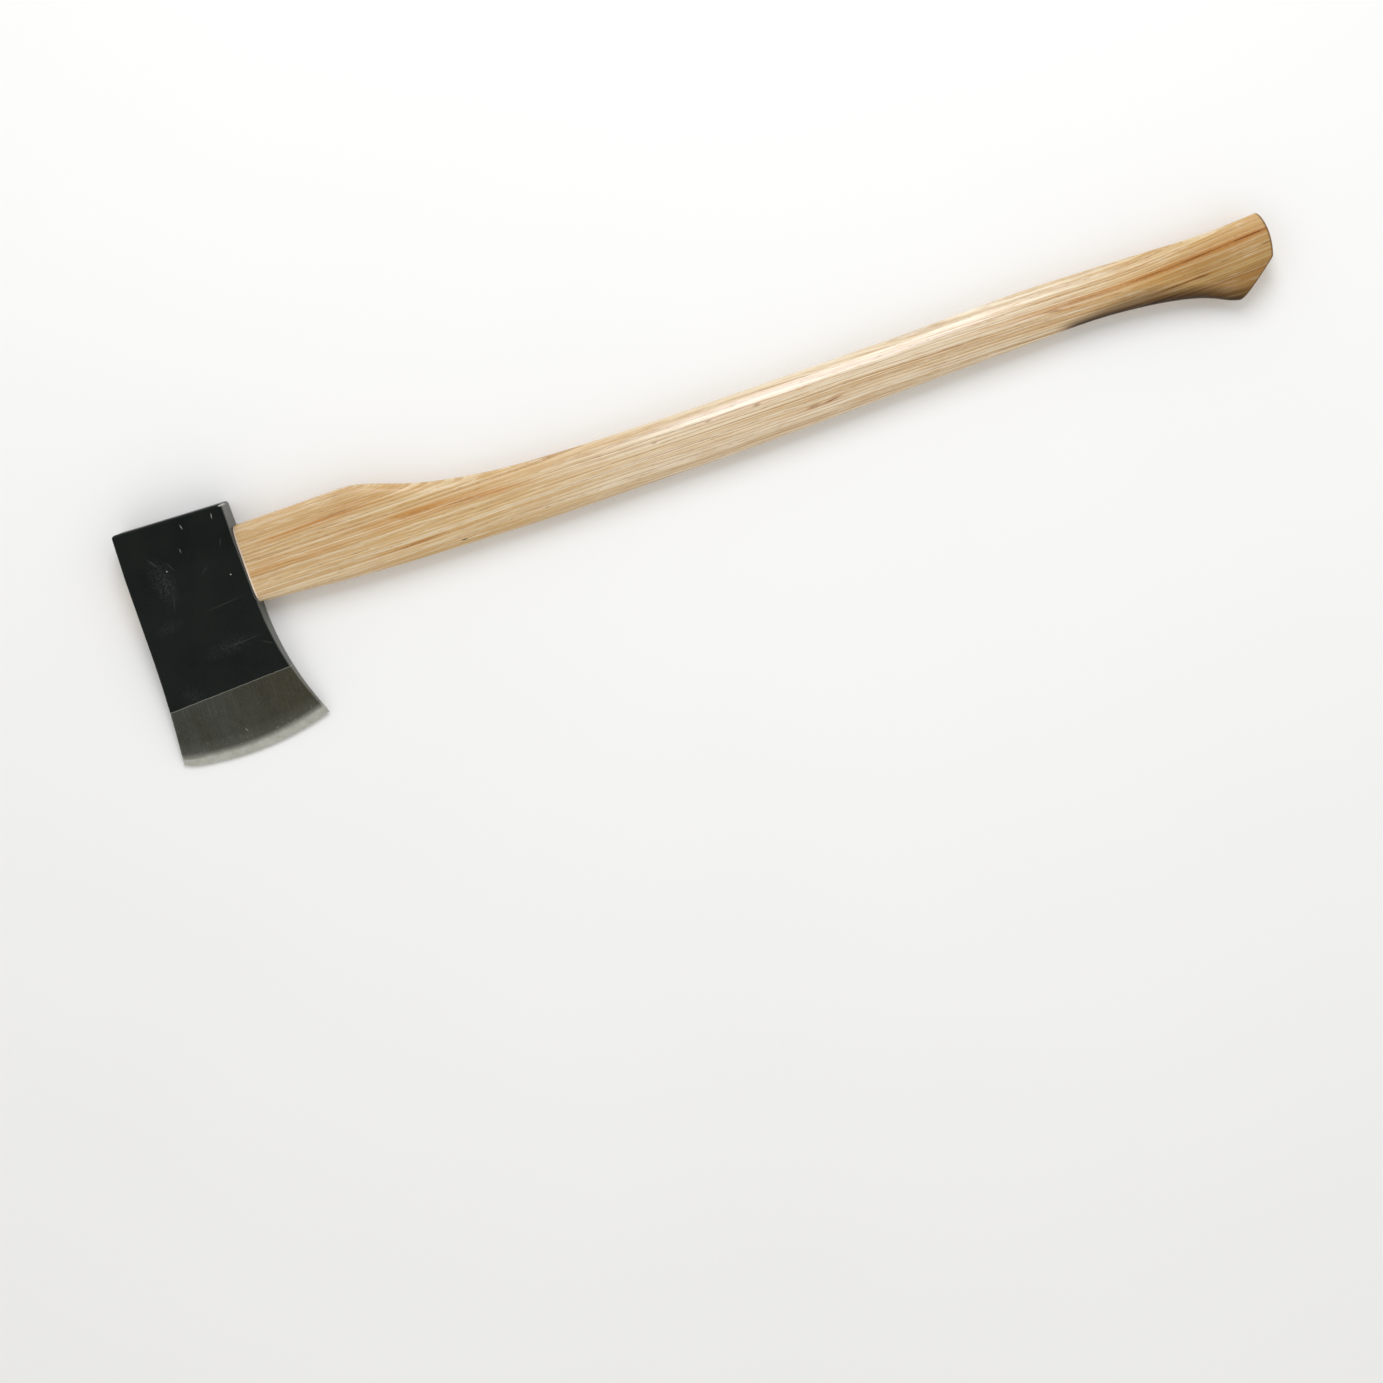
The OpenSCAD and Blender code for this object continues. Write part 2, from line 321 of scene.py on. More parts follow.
def head_ring(line_y, half, inset_x=0.0):
    """One loop round the head along the line y(u), u running from the top to the underside."""
    u = np.linspace(0, 1, CHEEK_STEPS + 1)
    y = line_y(u)
    z = half(u)
    left, right = top_x(y[0]) + inset_x, underside_x(y[-1]) - inset_x
    r_left, r_right = min(SIDE_FILLET, 0.7 * z[0]), min(SIDE_FILLET, 0.7 * z[-1])
    x = left + r_left + (right - left - r_left - r_right) * u
    turn = np.linspace(0, math.pi / 2, CORNER_STEPS + 1)[1:]
    side = np.linspace(1, -1, SIDE_STEPS + 1)[1:-1]

    def flank(xe, ye, ze, r, sign):
        """Rounded corner, side and rounded corner, from the upper cheek to the lower."""
        cx, cz = xe - sign * r, ze - r
        corner_x, corner_z = cx + sign * r * np.sin(turn), cz + r * np.cos(turn)
        xs = np.concatenate([corner_x, np.full(len(side), xe), corner_x[::-1]])
        zs = np.concatenate([corner_z, side * cz, -corner_z[::-1]])
        return np.stack([xs, np.full(len(xs), ye), zs], 1)

    upper = np.stack([x, y, z], 1)
    lower = np.stack([x, y, -z], 1)[::-1]
    return np.concatenate([upper, flank(right, y[-1], z[-1], r_right, 1), lower,
                           flank(left, y[0], z[0], r_left, -1)[::-1]])


def bevel_start(u):
    """Where the sharpened bevel begins: narrower towards the toe and the heel."""
    edge_x = np.linspace(top_x(BEVEL_TOE_Y), underside_x(BEVEL_HEEL_Y), len(u))
    loss = BEVEL_TOE_LOSS * smoothstep(0.22, 0, u) + BEVEL_HEEL_LOSS * smoothstep(0.75, 1, u)
    waver = 0.21 * np.sin(9 * u + 0.6) + 0.12 * np.sin(23 * u + 2.1)
    return cutting_y(np.maximum(edge_x, BEVEL_TOE_X)) + BEVEL_WIDTH * (1 - loss) + waver


def bit_line(u, nick_share=0.0):
    """The cutting edge at each step across the head."""
    edge_x = np.linspace(top_x(EDGE_TOE_Y), underside_x(EDGE_HEEL_Y), len(u))
    return cutting_y(edge_x) + EDGE_SETBACK + nick_share * nicks(edge_x)


def rolled(t):
    """Runs from the cheek's slope at t = 0 into a straight bevel, over BEVEL_ROLL of its width."""
    r = min(t / BEVEL_ROLL, 1.0)
    return BEVEL_ROLL * (r ** 3 - r ** 4 / 2) + max(t - BEVEL_ROLL, 0.0)


def poll_rings():
    """The poll face and its rounded corners."""
    rings = []
    for depth in POLL_DEPTHS:
        y = POLL_HEIGHT - depth
        inset_z = float(eased(depth, POLL_FILLET))
        rings.append(head_ring(lambda u: np.full(len(u), y),
                               lambda u: np.full(len(u), half_thickness(y) - inset_z),
                               float(eased(depth, POLL_CORNER))))
    return rings


def cheek_rings():
    """The cheeks, from the poll's corners to where the bevel begins."""
    start = POLL_HEIGHT - POLL_CORNER
    rings = []
    for t in CHEEK_SHARES:
        def line(u):
            return start + (bevel_start(u) - start) * t
        rings.append(head_ring(line, lambda u: half_thickness(line(u))))
    return rings


def bevel_rings():
    """The bevel, which reaches EDGE_HALF either side of the middle at the cutting edge."""
    rings = []
    for t in BEVEL_SHARES:
        def line(u):
            nick_share = max(0.0, t - NICK_START) / (1 - NICK_START)
            return bevel_start(u) + (bit_line(u, nick_share) - bevel_start(u)) * t

        def half(u):
            full = half_thickness(bevel_start(u))
            width = bevel_start(u) - bit_line(u)
            steep = TAPER + (full - EDGE_HALF - width * TAPER) / (width * rolled(1.0))
            return full - width * (TAPER * t + (steep - TAPER) * rolled(t))
        rings.append(head_ring(line, half))
    return rings


def head_cap(base):
    """Closes the ring whose points start at base: strips across the cheeks, and both flanks."""
    n = CHEEK_STEPS + 1
    cap = []
    for i in range(CHEEK_STEPS):
        low = n + FLANK_POINTS + CHEEK_STEPS - i
        cap.append((base + i, base + i + 1, base + low - 1, base + low))
    cap.append(tuple(base + n - 1 + i for i in range(FLANK_POINTS + 2)))
    cap.append((*(base + 2 * n + FLANK_POINTS - 1 + i for i in range(FLANK_POINTS + 1)), base))
    return cap


def head_mesh():
    rings = poll_rings() + cheek_rings() + bevel_rings()
    around = len(rings[0])
    faces = tube_faces(len(rings), around) + head_cap(0)
    faces += [f[::-1] for f in head_cap((len(rings) - 1) * around)]
    return np.concatenate(rings), faces


# ---------------------------------------------------------------------------------------
# Eye, kerf, tongue and wedges
# ---------------------------------------------------------------------------------------
AROUND = 128
TURN = np.linspace(0, 2 * math.pi, AROUND, endpoint=False)


def oval(a, b, n):
    """A squared-off ellipse of half lengths a and b; n = 2 is a true ellipse."""
    return np.stack([a * signed_power(np.cos(TURN), 2 / n), b * signed_power(np.sin(TURN), 2 / n)], 1)


def eye_oval(x, clearance=0.0):
    """The eye's section at x, which flares a little towards the top of the head."""
    flare = 1 + (EYE_FLARE - 1) * (EYE_FLARE_END - x) / EYE_FLARE_LENGTH
    return oval(EYE_LENGTH / 2 * flare - clearance, EYE_WIDTH / 2 * flare - clearance, EYE_SQUARENESS)


def ring_at(x, section):
    return np.column_stack([np.broadcast_to(x, len(section)), section])


def capped_tube(rings):
    around = len(rings[0])
    faces = tube_faces(len(rings), around)
    last = (len(rings) - 1) * around
    faces.append(tuple(range(around))[::-1])
    faces.append(tuple(last + i for i in range(around)))
    return np.concatenate(rings), faces


def eye_tool():
    """The eye, with a small countersink at both mouths."""
    rings = [ring_at(x, eye_oval(x, inset - EYE_GAP)) for x, inset in EYE_CUTTER_RINGS]
    return make_object("eye_tool", *capped_tube(rings))


def taper_box(x0, x1, y_mid, half_y, half_z):
    """A box along X whose half sizes run linearly from its first end to its second."""
    corners = []
    for x, hy, hz in ((x0, half_y[0], half_z[0]), (x1, half_y[1], half_z[1])):
        corners += [(x, y_mid + hy, hz), (x, y_mid - hy, hz), (x, y_mid - hy, -hz), (x, y_mid + hy, -hz)]
    faces = [(0, 1, 2, 3), (7, 6, 5, 4), (0, 4, 5, 1), (1, 5, 6, 2), (2, 6, 7, 3), (3, 7, 4, 0)]
    return np.array(corners), faces


def kerf_half(x):
    return (KERF_WIDTH + (KERF_ROOT - KERF_WIDTH) * x / KERF_DEPTH) / 2


def steel_half(x):
    return (STEEL_THICKNESS + (STEEL_POINT - STEEL_THICKNESS) * x / STEEL_DEPTH) / 2


def kerf_tool():
    return make_object("kerf_tool", *taper_box(CUTTER_START, KERF_DEPTH, 0, (EYE_LENGTH, EYE_LENGTH),
                                               (kerf_half(CUTTER_START), kerf_half(KERF_DEPTH))))


def steel_tool(side):
    return make_object("steel_tool", *taper_box(CUTTER_START, STEEL_DEPTH, side * STEEL_OFFSET,
                                                (steel_half(CUTTER_START), steel_half(STEEL_DEPTH)),
                                                (STEEL_WIDTH / 2, STEEL_WIDTH / 2)))


def wooden_wedge_mesh():
    rings = []
    for x, inset in WOOD_RINGS:
        section = eye_oval(x, WOOD_GAP + inset)
        limit = kerf_half(x) - WOOD_SIDE_GAP - inset
        section[:, 1] = np.clip(section[:, 1], -limit, limit)
        rings.append(ring_at(x, section))
    return capped_tube(rings)


def rounded_block(x, half_y, half_z, radius):
    """A rectangle with rounded corners in the plane at x."""
    points = []
    for k, (side_y, side_z) in enumerate(((1, 1), (-1, 1), (-1, -1), (1, -1))):
        for a in np.linspace(0, math.pi / 2, BLOCK_CORNER_POINTS) + k * math.pi / 2:
            y = side_y * (half_y - radius) + radius * math.cos(a)
            z = side_z * (half_z - radius) + radius * math.sin(a)
            points.append((x, y, z))
    return np.array(points)


def steel_wedge_mesh(side):
    rings = []
    for x, inset in STEEL_RINGS:
        half_y = steel_half(x) - STEEL_GAP - inset
        half_z = STEEL_WIDTH / 2 - STEEL_GAP - inset
        ring = rounded_block(x, half_y, half_z, min(STEEL_CORNER, half_y * 0.8))
        ring[:, 1] += side * STEEL_OFFSET
        rings.append(ring)
    return capped_tube(rings)


# ---------------------------------------------------------------------------------------
# Haft
# ---------------------------------------------------------------------------------------
SHOULDER_GAP = 0.12
SHOULDER_HALF = 31.0
SHOULDER_EASE = 1.3
SHOULDER_CORNER = 2.6
SHOULDER_DEPTHS = (0, 0.05, 0.16, 0.35, 0.6, 0.95, SHOULDER_EASE, 1.9, SHOULDER_CORNER)
KNOB_EASE = 1.3
KNOB_TIP_EASE = 2.5
KNOB_DEPTHS = (2.1, 1.7, KNOB_EASE, 1.0, 0.7, 0.45, 0.25, 0.1, 0.03, 0)
KNOB_SOFTNESS = 0.25
STRAIGHT_FROM = 150.0
STRAIGHT_TO = 815.0
RING_GAP = 3.0


def shoulder_x(y):
    return POLL_WIDTH + (POLL_HEIGHT - y) * UNDERSIDE_SLOPE + SHOULDER_GAP


def knob_x(y):
    """Side outline of the knob's rounded end and sawn face, with the corner between eased."""
    end = HAFT_END - KNOB_END_RADIUS + np.sqrt(KNOB_END_RADIUS ** 2 - (y - KNOB_END_Y) ** 2)
    sawn = KNOB_CORNER[0] + (y - KNOB_CORNER[1]) / KNOB_CUT
    return -KNOB_SOFTNESS * np.logaddexp(-end / KNOB_SOFTNESS, -sawn / KNOB_SOFTNESS)


def haft_ring(middle, inset_z=0.0, inset_back=0.0, inset_belly=0.0):
    """One loop round the haft, whose middle line is x = middle(w), from -1 (belly) to 1 (back)."""
    x_back, x_belly = float(middle(1.0)), float(middle(-1.0))
    square = curve(SQUARE_LINE, (x_back + x_belly) / 2)
    w = signed_power(np.cos(TURN), 2 / square)
    rise = signed_power(np.sin(TURN), 2 / square)
    high = curve(BACK_LINE, x_back) - inset_back
    low = curve(BELLY_LINE, x_belly) + inset_belly
    x = middle(w)
    y = low + (w + 1) / 2 * (high - low)
    return np.stack([x, y, (curve(SIDE_LINE, x) / 2 - inset_z) * rise], 1)


def shoulder_rings():
    """The shoulder's rounded edge, then rings that turn from its slope to square across the haft."""
    def at(depth, share):
        ease = float(eased(depth, SHOULDER_EASE))

        def middle(w):
            return (shoulder_x(SHOULDER_HALF * w) + depth) * (1 - share) + STRAIGHT_FROM * share
        return haft_ring(middle, ease, float(eased(depth, SHOULDER_CORNER)), ease)
    rings = [at(depth, 0) for depth in SHOULDER_DEPTHS]
    return rings + [at(SHOULDER_CORNER, share) for share in np.linspace(0, 1, 22)[1:]]


def straight_rings():
    stops = np.arange(STRAIGHT_FROM + RING_GAP, STRAIGHT_TO + 0.1, RING_GAP)
    return [haft_ring(lambda w: stop + 0 * w) for stop in stops]


def knob_rings():
    """Rings that turn from square across the haft to the knob's end, then its rounded edge."""
    first = STRAIGHT_FROM + RING_GAP * int((STRAIGHT_TO - STRAIGHT_FROM) / RING_GAP)

    def at(depth, share):
        inset_back, inset_belly = float(eased(depth, KNOB_EASE)), float(eased(depth, KNOB_TIP_EASE))
        top, tip = KNOB_TOP_Y - inset_back, KNOB_TIP_Y + inset_belly
        for _ in range(4):
            top = float(curve(BACK_LINE, knob_x(top) - depth)) - inset_back
            tip = float(curve(BELLY_LINE, knob_x(tip) - depth)) + inset_belly

        def middle(w):
            y = tip + (w + 1) / 2 * (top - tip)
            return (knob_x(y) - depth) * share + first * (1 - share)
        return haft_ring(middle, inset_back, inset_back, inset_belly)
    rings = [at(KNOB_TIP_EASE, share) for share in np.linspace(0, 1, 26)[1:]]
    return rings + [at(depth, 1) for depth in KNOB_DEPTHS]


def haft_cap(base):
    """Closes the ring whose points start at base with strips across it."""
    cap = []
    for i in range(AROUND // 2):
        strip = (base + i, base + i + 1, base + (AROUND - i - 1) % AROUND, base + (AROUND - i) % AROUND)
        cap.append(tuple(dict.fromkeys(strip)))
    return cap


def haft_mesh():
    tongue = [ring_at(x, eye_oval(x, EYE_GAP + inset)) for x, inset in TONGUE_RINGS]
    root = eye_oval(shoulder_x(0), EYE_GAP)
    tongue.append(ring_at(shoulder_x(root[:, 0]) - 0.01, root))
    rings = tongue + shoulder_rings() + straight_rings() + knob_rings()
    faces = tube_faces(len(rings), AROUND) + [f[::-1] for f in haft_cap(0)]
    return np.concatenate(rings), faces + haft_cap((len(rings) - 1) * AROUND)


# ---------------------------------------------------------------------------------------
# Materials
# ---------------------------------------------------------------------------------------
class Shader:
    """Builds a material's nodes from short calls."""

    def __init__(self, name):
        self.material = bpy.data.materials.new(name)
        self.material.use_nodes = True
        self.tree = self.material.node_tree
        self.tree.nodes.clear()
        self.out = self.tree.nodes.new("ShaderNodeOutputMaterial")
        self.surface = self.tree.nodes.new("ShaderNodeBsdfPrincipled")
        self.tree.links.new(self.surface.outputs[0], self.out.inputs[0])

    def put(self, socket, value):
        if isinstance(value, bpy.types.NodeSocket):
            self.tree.links.new(value, socket)
        elif isinstance(value, (tuple, list)) and len(value) == 3 and socket.type == "RGBA":
            socket.default_value = (*value, 1)
        else:
            socket.default_value = value

    def node(self, kind, output=0, settings=None, **inputs):
        """Adds a node. Inputs go by name, or by number as i0, i1 and so on."""
        n = self.tree.nodes.new("ShaderNode" + kind)
        for key, value in (settings or {}).items():
            setattr(n, key, value)
        for key, value in inputs.items():
            numbered = key[0] == "i" and key[1:].isdigit()
            self.put(n.inputs[int(key[1:]) if numbered else key.replace("_", " ")], value)
        return n.outputs[output]

    def set(self, **inputs):
        for key, value in inputs.items():
            self.put(self.surface.inputs[key.replace("_", " ")], value)

    def read(self, name, output="Fac"):
        return self.node("Attribute", output, {"attribute_name": name, "attribute_type": "GEOMETRY"})

    def math(self, operation, a, b=0.0, c=0.0, clamp=False):
        return self.node("Math", 0, {"operation": operation, "use_clamp": clamp}, i0=a, i1=b, i2=c)

    def noise(self, vector, scale=1.0, detail=3.0, rough=0.55):
        return self.node("TexNoise", "Fac", None, Vector=vector, Scale=scale, Detail=detail,
                         Roughness=rough)

    def stretch(self, vector, scale, shift=(0, 0, 0)):
        return self.node("Mapping", 0, None, Vector=vector, Location=shift, Scale=scale)

    def parts(self, vector):
        n = self.tree.nodes.new("ShaderNodeSeparateXYZ")
        self.put(n.inputs[0], vector)
        return n.outputs[0], n.outputs[1], n.outputs[2]

    def total(self, first, *others):
        for other in others:
            first = self.math("ADD", first, other)
        return first

    def around(self, noise, size):
        """Turns a noise of 0..1 into one of about that size either side of nothing."""
        return self.math("MULTIPLY", self.math("SUBTRACT", noise, 0.5), 2 * size)

    def spot(self, place, x, y, length, width, tilt=0.0, soft=1.0):
        """1 at the heart of an oval mark on the blade's plane, 0 outside it: millimetres and degrees."""
        local = self.node("Mapping", 0, {"vector_type": "TEXTURE"}, Vector=place,
                          Location=(x * MM, y * MM, 0), Rotation=(0, 0, math.radians(tilt)),
                          Scale=(length * MM, width * MM, 1000))
        away = self.node("VectorMath", "Value", {"operation": "LENGTH"}, i0=local)
        return self.span(away, 1.0, 1.0 - soft)

    def span(self, value, low, high, to_low=0.0, to_high=1.0):
        """Takes low..high to to_low..to_high, held at both ends."""
        return self.node("MapRange", 0, {"clamp": True}, Value=value, From_Min=low, From_Max=high,
                         To_Min=to_low, To_Max=to_high)

    def mix(self, share, a, b, blend="MIX"):
        n = self.tree.nodes.new("ShaderNodeMix")
        n.data_type = "RGBA"
        n.blend_type = blend
        self.put(n.inputs[0], share)
        self.put(n.inputs[6], a)
        self.put(n.inputs[7], b)
        return n.outputs[2]

    def ramp(self, value, stops):
        n = self.tree.nodes.new("ShaderNodeValToRGB")
        self.put(n.inputs[0], value)
        while len(n.color_ramp.elements) < len(stops):
            n.color_ramp.elements.new(0.5)
        for element, (place, colour) in zip(n.color_ramp.elements, stops):
            element.position = place
            element.color = (*colour, 1)
        return n.outputs[0]

    def bump(self, height, distance, strength):
        n = self.tree.nodes.new("ShaderNodeBump")
        n.inputs["Strength"].default_value = strength
        n.inputs["Distance"].default_value = distance
        self.put(n.inputs["Height"], height)
        return n.outputs[0]


class Wood(Shader):
    """A shader whose noises are drawn out along the haft's fibres."""

    def __init__(self, name):
        super().__init__(name)
        self.fibre = self.read("fibre", "Vector")
        self.along, across, self.deep = self.parts(self.fibre)
        sway = self.around(self.noise(self.stretch(self.fibre, (2.6, 26, 26)), 1.0, 2), 0.0050)
        wobble = self.noise(self.stretch(self.fibre, (11, 190, 190), (4, 2, 0)), 1.0, 2)
        self.level = self.total(across, self.math("MULTIPLY", self.deep, 0.22), sway,
                                self.around(wobble, 0.0011))

    def bands(self, length, width, shift, detail=3, rough=0.6):
        """Noise drawn out along the fibres; length and width are per metre."""
        place = self.node("CombineXYZ", 0, None, X=self.math("MULTIPLY", self.along, length),
                          Y=self.math("MULTIPLY", self.level, width),
                          Z=self.math("MULTIPLY_ADD", self.deep, length * 6, shift))
        return self.noise(place, 1.0, detail, rough)


# Dark brown lines in the wood: distance from the top of the head, from the eye's axis, half
# length, half width and tilt, then how strong one is
DARK_LINES = [
    (760, 8.0, 34, 0.8, 0.8, 0.6), (812, 10.4, 30, 0.9, 3.6, 0.75), (852, 13.7, 30, 1.0, 5.2, 0.9),
    (893, 17.7, 28, 1.1, 5.4, 1.0), (832, -3.2, 30, 0.8, 4.0, 0.9), (850, -1.9, 9, 1.4, 3.0, 0.6),
    (736, 5.4, 9, 1.2, -4, 0.5), (540, -10.7, 8, 1.6, 4, 0.6), (554, -9.9, 11, 0.9, 7, 0.9),
    (498, 3.0, 4.5, 1.4, 4, 0.6), (459, 1.9, 3.5, 1.2, 4, 0.5), (415, -2.0, 3.0, 1.0, 4, 0.5),
    (222, -22.2, 34, 0.7, 3.4, 0.7), (170, 17.3, 26, 0.8, 2, 0.6), (225, 0.3, 22, 0.8, 0, 0.4),
    (264, -1.6, 20, 0.8, -1, 0.5), (905, 8.8, 6, 0.7, 7, 0.5),
]
# A dark fleck on the haft, and a bright tick on the bare steel, laid out as the lines are
FLECK = (255, -30.5, 3.4, 0.8, 2)
TICK = (50.5, -122.5, 2.3, 0.36, 118)
# Marks on the painted upper cheek, laid out as the lines are; a chip has no tilt or strength
SMUDGES = [
    (27, 5, 11, 22, 8, 0.62), (20, -30, 14, 6, 10, 0.3), (60, -57, 26, 8, 6, 0.32),
    (20, -86, 10, 12, 20, 0.28),
]
SCRATCHES = [
    (53.0, 41.5, 2.4, 0.5, 104, 1.0), (77.5, 43.0, 2.6, 0.5, 82, 1.0), (47.0, 24.5, 2.4, 0.4, 96, 0.6),
    (24.0, 21.0, 7.0, 0.4, 128, 0.2), (36.0, 15.0, 6.0, 0.35, 120, 0.16),
    (66.0, -24.0, 20.0, 0.4, 7, 0.1), (70.0, -56.0, 20.0, 0.35, 5, 0.13),
    (88.0, -62.0, 7.0, 0.35, 150, 0.14), (30.0, -12.0, 9.0, 0.35, 75, 0.12),
    (60.0, 5.0, 5.0, 0.3, 40, 0.12), (78.0, 22.0, 4.0, 0.3, 70, 0.18),
]
CHIPS = [(32.5, 12.3, 0.75, 0.6), (77.7, -3.9, 0.8, 0.65), (86.2, 48.6, 2.3, 0.8), (98.0, -65.0, 0.7, 0.6)]


def srgb(r, g, b):
    """A colour picked on the 0 to 255 scale, as the shader needs it."""
    def one(c):
        c /= 255
        return c / 12.92 if c <= 0.04045 else ((c + 0.055) / 1.055) ** 2.4
    return one(r), one(g), one(b)


def wood_tones(s, rings):
    """Broad bands, growth rings and fine fibres: paler along the middle, browner at the grip."""
    broad = s.bands(1.3, 130, 3.0, 2)
    fine = s.bands(7.0, 1900, 1.0, 2)
    tone = s.total(s.math("MULTIPLY", broad, 0.34), s.math("MULTIPLY", rings, 0.5),
                   s.math("MULTIPLY", fine, 0.16))
    tone = s.span(tone, 0.385, 0.615)
    gold = s.ramp(tone, ((0.0, srgb(188, 146, 92)), (0.3, srgb(201, 164, 110)), (0.55, srgb(208, 176, 127)),
                         (0.8, srgb(216, 193, 153)), (1.0, srgb(226, 208, 177))))
    cream = s.ramp(tone, ((0.0, srgb(200, 166, 122)), (0.3, srgb(217, 192, 153)),
                          (0.55, srgb(228, 209, 177)), (0.8, srgb(237, 223, 197)),
                          (1.0, srgb(246, 236, 219))))
    colour = s.mix(s.read("pale"), gold, cream)
    return s.mix(s.read("grip"), colour, srgb(250, 233, 192), "MULTIPLY")


def growth_rings(s):
    """Where a point lies within its ring, and the line of porous early wood that each starts with."""
    crowd = s.around(s.bands(0.7, 150, 23.0, 2), 1.6)
    ring = s.math("FRACT", s.total(s.math("MULTIPLY", s.level, 340), crowd))
    return ring, s.math("POWER", s.math("SUBTRACT", 1.0, ring), 3.0)


def draw_grain(s, colour, ring, line):
    """Sharp early wood fading into paler late wood, with hair-fine lines that come and go."""
    strength = s.span(s.bands(3.2, 420, 11.0, 2, 0.7), 0.40, 0.64, 0.22, 1.0)
    strength = s.math("MULTIPLY", strength, s.span(s.read("pale"), 0.0, 0.5, 0.4, 1.0))
    colour = s.mix(s.math("MULTIPLY", line, strength), colour, srgb(160, 115, 70))
    hair = s.span(s.bands(9.0, 1500, 41.0, 3, 0.7), 0.56, 0.70)
    colour = s.mix(s.math("MULTIPLY", hair, 0.7), colour, srgb(170, 128, 80))
    short = s.bands(42.0, 850, 53.0, 2)
    colour = s.mix(s.span(short, 0.54, 0.72, 0.0, 0.6), colour, srgb(188, 142, 88))
    colour = s.mix(s.span(short, 0.44, 0.28, 0.0, 0.45), colour, srgb(243, 229, 203))
    late = s.math("MULTIPLY", s.span(ring, 0.55, 0.95), s.span(s.bands(3.0, 380, 19.0, 2), 0.45, 0.65))
    return s.mix(s.math("MULTIPLY", late, 0.4), colour, srgb(236, 218, 186))


def draw_streaks(s, colour, rings, place):
    """Orange-brown streaks and dark lines, broken up by the pores."""
    dash = s.noise(s.stretch(s.fibre, (330, 1500, 1500), (2, 5, 2)), 1.0, 2)
    streak = s.math("MULTIPLY", s.read("streak"), s.span(rings, 0.62, 0.42, 0.35, 1.0))
    streak = s.math("MULTIPLY", streak, s.span(dash, 0.3, 0.6, 0.6, 1.0), clamp=True)
    colour = s.mix(s.math("MULTIPLY", streak, 0.9), colour, srgb(192, 130, 60))
    upper = s.span(s.parts(place)[2], 0.003, 0.007)
    broken = s.math("MULTIPLY", s.span(dash, 0.3, 0.6, 0.7, 1.0), upper)
    for *line, share in DARK_LINES:
        amount = s.math("MULTIPLY", s.math("MULTIPLY", s.spot(place, *line, 0.7), broken), share)
        colour = s.mix(amount, colour, srgb(124, 72, 24))
    return colour


def draw_stains_and_shade(s, colour, line, place):
    """The grip's belly darkened by hand stain and painted shade, the sawn faces, the knob's brown rim, a
    painted highlight along the shoulder's edge and a dark fleck.
    """
    # painted shade and hand stain darken the grip's belly, darkest at its edge
    dark = s.math("MULTIPLY", s.read("stain_and_shade"), s.span(s.bands(4.0, 300, 31.0, 2), 0.3, 0.62, 1.0, 0.8))
    colour = s.mix(dark, colour, srgb(83, 67, 43), "MULTIPLY")
    # darker still at the very edge of the belly: grime with painted shade
    colour = s.mix(s.math("MULTIPLY", s.read("edge_grime_and_shade"), 0.75), colour, srgb(118, 104, 88), "MULTIPLY")
    cells = s.noise(s.stretch(s.fibre, (500, 1900, 1900)), 1.0, 3, 0.7)
    grainy = s.mix(s.span(cells, 0.40, 0.62), srgb(200, 168, 122), srgb(148, 112, 70))
    grainy = s.mix(s.math("MULTIPLY", line, 0.5), grainy, srgb(120, 86, 50))
    colour = s.mix(s.math("MULTIPLY", s.read("end"), 0.6), colour, grainy)
    colour = s.mix(s.read("rim"), colour, srgb(104, 72, 40))
    # painted highlight: a pale line along the shoulder's eased edge
    colour = s.mix(s.read("shoulder_edge_highlight"), colour, srgb(247, 226, 206))
    return s.mix(s.math("MULTIPLY", s.spot(place, *FLECK, 0.7), 0.9), colour, srgb(62, 44, 30))


def ash_material():
    """Varnished ash: growth rings along the fibres, porous early wood, and a clear gloss coat."""
    s = Wood("varnished_ash")
    place = s.read("upright", "Vector")
    rings = s.bands(1.6, 620, 7.0, 3, 0.62)
    ring, line = growth_rings(s)
    colour = draw_grain(s, wood_tones(s, rings), ring, line)
    colour = draw_streaks(s, colour, rings, place)
    pores = s.noise(s.stretch(s.fibre, (150, 2600, 2600), (2, 2, 2)), 1.0, 1)
    pores = s.math("MULTIPLY", s.span(pores, 0.60, 0.70), s.span(line, 0.15, 0.6))
    colour = s.mix(s.math("MULTIPLY", pores, 0.6), colour, srgb(124, 84, 46))
    colour = draw_stains_and_shade(s, colour, line, place)
    height = s.math("SUBTRACT", s.math("MULTIPLY", line, -0.35), s.math("MULTIPLY", pores, 0.8))
    s.set(Base_Color=colour, Roughness=s.span(rings, 0.3, 0.7, 0.5, 0.38), Specular_IOR_Level=0.12,
          Normal=s.bump(height, 0.0002, 0.4))
    # the varnish is rubbed off where the grip's belly is darkened by hand stain and painted shade
    varnish = s.math("MULTIPLY", s.span(s.read("stain_and_shade"), 0.0, 1.0, 1.0, 0.05), s.read("gloss"))
    soft = s.noise(s.stretch(s.fibre, (10, 240, 240), (5, 5, 5)), 1.0, 2)
    s.set(Coat_Weight=varnish, Coat_Roughness=0.16, Coat_IOR=1.62, Coat_Normal=s.bump(soft, 0.0001, 0.3))
    return s.material


PAINT_SLOPE = -0.082
PAINT_LEVEL = 0.0929


def paint_line(s, place):
    """How far a point lies above the straight line where the black paint ends, in metres."""
    x, y, _ = s.parts(place)
    waver = s.around(s.noise(place, 260, 2), 0.0004)
    return s.total(y, s.math("MULTIPLY", x, PAINT_SLOPE), PAINT_LEVEL, waver)


